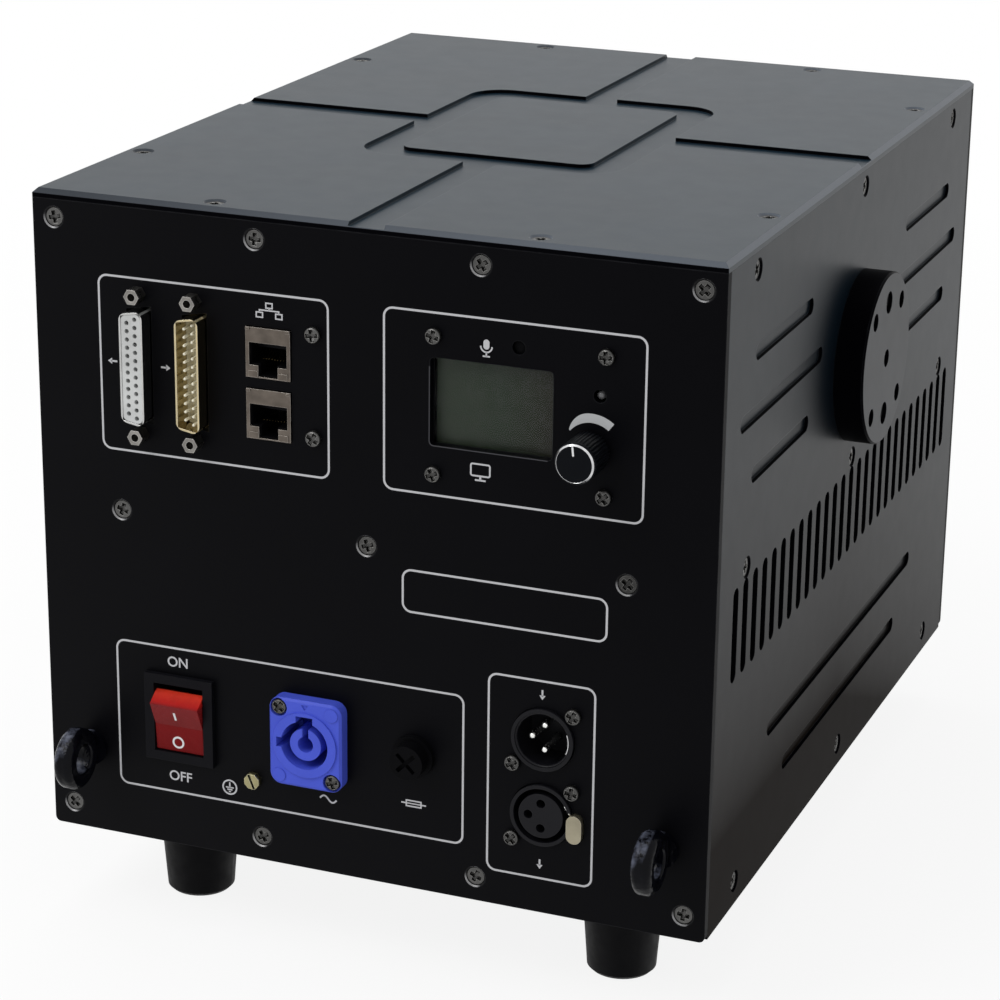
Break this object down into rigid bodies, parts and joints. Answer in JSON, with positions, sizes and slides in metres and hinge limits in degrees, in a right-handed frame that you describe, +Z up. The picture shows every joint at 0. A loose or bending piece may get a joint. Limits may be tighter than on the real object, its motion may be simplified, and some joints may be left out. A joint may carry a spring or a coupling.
{
  "type": "laser show projector",
  "caption": "Box-shaped laser show projector: bolted plate case on rubber feet, vented sides with round bosses for a bracket, and a connector panel with display and knob.",
  "frame": {"origin": "under the middle of the whole object, on the surface that the feet stand on", "axes": "+X to the right seen from the connector panel, +Y from that panel towards the beam exit, +Z up"},
  "size_m": [0.2556, 0.3328, 0.254],
  "materials": {
    "black_panel": "fine matte black coat",
    "dark_case": "satin dark grey anodised plate",
    "black_gloss": "satin black",
    "deck_metal": "milled",
    "screw_steel": "dark plated",
    "nickel": "bright nickel",
    "yellow_zinc": "yellow passivated",
    "white_plastic": "satin",
    "cream_plastic": "satin",
    "gold_pin": "gold plated",
    "black_plastic": "satin",
    "board_green": "solder mask",
    "clear_pane": "clear",
    "lcd_face": "unlit display",
    "lamp_red": "tinted",
    "rocker_red": "translucent red",
    "inlet_blue": "satin blue",
    "brass": "machined",
    "silver_pin": "silver plated",
    "mirror": "coated",
    "rubber": "matte",
    "supply_steel": "galvanised"
  },
  "bodies": {
    "case": {"rear_panel": "black_panel", "front_panel": "black_panel", "base_plate": "black_panel", "window_frame": "black_panel", "top_cover": "dark_case", "left_side_panel": "dark_case", "right_side_panel": "dark_case", "hub_left": "black_gloss", "hub_right": "black_gloss", "safety_eye_left": "black_gloss", "safety_eye_right": "black_gloss", "side_rails": "deck_metal", "cross_rails": "deck_metal", "optics_plate": "deck_metal", "heat_sink": "deck_metal", "laser_modules": "deck_metal", "scanner_block": "deck_metal", "case_screws": "screw_steel", "panel_screws": "screw_steel", "socket_screws": "screw_steel", "scan_motors": "screw_steel", "dsub_out_shell": "nickel", "dsub_jackscrews": "nickel", "network_jacks": "nickel", "dsub_in_shell": "yellow_zinc", "dsub_out_insulator": "white_plastic", "dsub_in_insulator": "cream_plastic", "dsub_in_pins": "gold_pin", "network_jack_inserts": "black_plastic", "encoder_body": "black_plastic", "switch_housing": "black_plastic", "fuse_holder": "black_plastic", "xlr_in_shell": "black_plastic", "xlr_out_shell": "black_plastic", "fan_frames": "black_plastic", "network_board": "board_green", "display_board": "board_green", "control_board": "board_green", "display_lens": "clear_pane", "window_glass": "clear_pane", "lcd_module": "lcd_face", "status_led": "lamp_red", "power_inlet": "inlet_blue", "earth_screw": "brass", "board_standoffs": "brass", "xlr_in_pins": "silver_pin", "combiner_mirrors": "mirror", "rubber_feet": "rubber", "power_supply": "supply_steel"},
    "rocker": {"switch_rocker": "rocker_red"},
    "knob_plunger": {"encoder_plunger": "black_plastic"},
    "knob": {"encoder_shaft": "nickel", "menu_knob": "black_plastic"},
    "fuse": {"fuse_cartridge": "clear_pane"},
    "fuse_head": {"fuse_cap": "black_plastic"},
    "latch": {"xlr_out_latch": "nickel"},
    "fan_rear": {"fan_rotor_rear": "black_plastic"},
    "fan_front": {"fan_rotor_front": "black_plastic"},
    "scan_x": {"scan_mirror_x": "mirror"},
    "scan_y": {"scan_mirror_y": "mirror"}
  },
  "joints": [
    {"name": "switch_tip", "type": "hinge", "parent": "case", "child": "rocker", "pos_m": [-0.068, -0.13625, 0.0774], "axis": [-1, 0, 0], "range_deg": [0, 28]},
    {"name": "knob_press", "type": "slide", "parent": "case", "child": "knob_plunger", "axis": [0, 1, 0], "range_m": [0, 0.0006], "stiffness_N_per_m": 1500},
    {"name": "knob_turn", "type": "hinge", "parent": "knob_plunger", "child": "knob", "pos_m": [0.0755, -0.14435, 0.1905], "axis": [0, 1, 0], "continuous": true},
    {"name": "fuse_draw", "type": "slide", "parent": "case", "child": "fuse", "axis": [0, -1, 0], "range_m": [0, 0.026]},
    {"name": "fuse_cap_turn", "type": "hinge", "parent": "fuse", "child": "fuse_head", "pos_m": [0.0167, -0.14435, 0.0785], "axis": [0, -1, 0], "range_deg": [0, 90]},
    {"name": "latch_press", "type": "slide", "parent": "case", "child": "latch", "axis": [0, 1, 0], "range_m": [0, 0.0015], "stiffness_N_per_m": 800},
    {"name": "fan_rear_spin", "type": "hinge", "parent": "case", "child": "fan_rear", "pos_m": [0.0945, -0.06185, 0.1244], "axis": [1, 0, 0], "continuous": true},
    {"name": "fan_front_spin", "type": "hinge", "parent": "case", "child": "fan_front", "pos_m": [0.0945, 0.07815, 0.1244], "axis": [1, 0, 0], "continuous": true},
    {"name": "scan_x_turn", "type": "hinge", "parent": "case", "child": "scan_x", "pos_m": [0.015, 0.10065, 0.1744], "axis": [0, 1, 0], "range_deg": [-12, 12], "stiffness_Nm_per_rad": 0.001},
    {"name": "scan_y_turn", "type": "hinge", "parent": "case", "child": "scan_y", "pos_m": [0.015, 0.10065, 0.1884], "axis": [1, 0, 0], "range_deg": [-12, 12], "stiffness_Nm_per_rad": 0.001}
  ]
}
